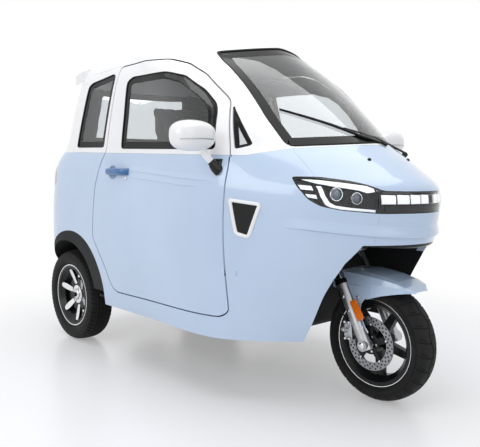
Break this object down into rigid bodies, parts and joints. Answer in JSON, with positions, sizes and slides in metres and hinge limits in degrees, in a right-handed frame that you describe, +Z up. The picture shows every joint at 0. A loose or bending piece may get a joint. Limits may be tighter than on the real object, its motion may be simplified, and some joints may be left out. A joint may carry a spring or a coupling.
{
  "type": "three wheeled cabin car",
  "caption": "Enclosed electric cabin tricycle with a motorcycle-fork front wheel, hinged doors and a glazed cabin.",
  "frame": {"origin": "centre of the bounding box on the ground", "axes": "+X forward, +Y left, +Z up"},
  "size_m": [2.241, 1.464, 1.5909],
  "materials": {
    "blue_paint": "gloss",
    "white_paint": "gloss",
    "black_paint": "satin",
    "tinted_glass": "polished",
    "lamp_lens": "polished",
    "red_lens": "gloss",
    "orange_reflector": "gloss",
    "black_plastic": "matt",
    "spring_steel": "satin",
    "black_leather": "satin",
    "handle_blue": "gloss",
    "fork_metal": "satin",
    "cast_alloy": "satin",
    "rim_alloy": "machined",
    "tyre": "matt",
    "disc_steel": "brushed"
  },
  "bodies": {
    "body": {"hood": "blue_paint", "nose_band": "blue_paint", "rear_panel": "blue_paint", "side_panel_right": "blue_paint", "side_panel_left": "blue_paint", "rear_hatch": "white_paint", "quarter_right": "white_paint", "quarter_left": "white_paint", "roof": "white_paint", "windscreen": "tinted_glass", "rear_window": "tinted_glass", "fixed_windows": "tinted_glass", "light_bar": "lamp_lens", "headlights": "lamp_lens", "tail_lamps": "red_lens", "rear_bumper": "black_plastic", "rear_arch_right": "black_plastic", "rear_arch_left": "black_plastic", "frame": "black_paint", "floor": "black_plastic", "seat_box": "black_plastic", "battery": "black_plastic", "seat_front": "black_leather", "seat_rear": "black_leather", "front_wheelhouse": "black_plastic", "dashboard": "black_plastic", "rear_axle": "black_paint", "leaf_springs": "spring_steel", "wiper": "black_plastic", "rear_frame": "black_paint", "steering_head": "black_paint"},
    "door_right": {"door_panel_right": "blue_paint", "door_frame_right": "white_paint", "door_glass_right": "tinted_glass", "door_handle_right": "handle_blue", "door_mirror_right": "white_paint"},
    "door_left": {"door_panel_left": "blue_paint", "door_frame_left": "white_paint", "door_glass_left": "tinted_glass", "door_handle_left": "handle_blue", "door_mirror_left": "white_paint"},
    "steering": {"fork": "fork_metal", "front_mudguard": "blue_paint", "side_reflectors": "orange_reflector", "brake_caliper": "cast_alloy", "handlebar": "black_plastic"},
    "front_wheel": {"front_rim": "rim_alloy", "front_tyre": "tyre", "brake_disc": "disc_steel"},
    "rear_wheel_right": {"rear_rim_right": "rim_alloy", "rear_tyre_right": "tyre"},
    "rear_wheel_left": {"rear_rim_left": "rim_alloy", "rear_tyre_left": "tyre"}
  },
  "joints": [
    {"name": "door_right_hinge", "type": "hinge", "parent": "body", "child": "door_right", "pos_m": [0.482, -0.52, 0.685], "axis": [0, 0, 1], "range_deg": [0, 62]},
    {"name": "door_left_hinge", "type": "hinge", "parent": "body", "child": "door_left", "pos_m": [0.482, 0.52, 0.685], "axis": [0, 0, -1], "range_deg": [0, 62]},
    {"name": "steering_turn", "type": "hinge", "parent": "body", "child": "steering", "pos_m": [0.58574, 0, 0.71078], "axis": [-0.4695, 0, 0.8829], "range_deg": [-35, 35]},
    {"name": "front_wheel_spin", "type": "hinge", "parent": "steering", "child": "front_wheel", "pos_m": [0.8775, 0, 0.243], "axis": [0, 1, 0], "continuous": true},
    {"name": "rear_wheel_right_spin", "type": "hinge", "parent": "body", "child": "rear_wheel_right", "pos_m": [-0.8125, -0.4625, 0.247], "axis": [0, 1, 0], "continuous": true},
    {"name": "rear_wheel_left_spin", "type": "hinge", "parent": "body", "child": "rear_wheel_left", "pos_m": [-0.8125, 0.4625, 0.247], "axis": [0, 1, 0], "continuous": true}
  ]
}
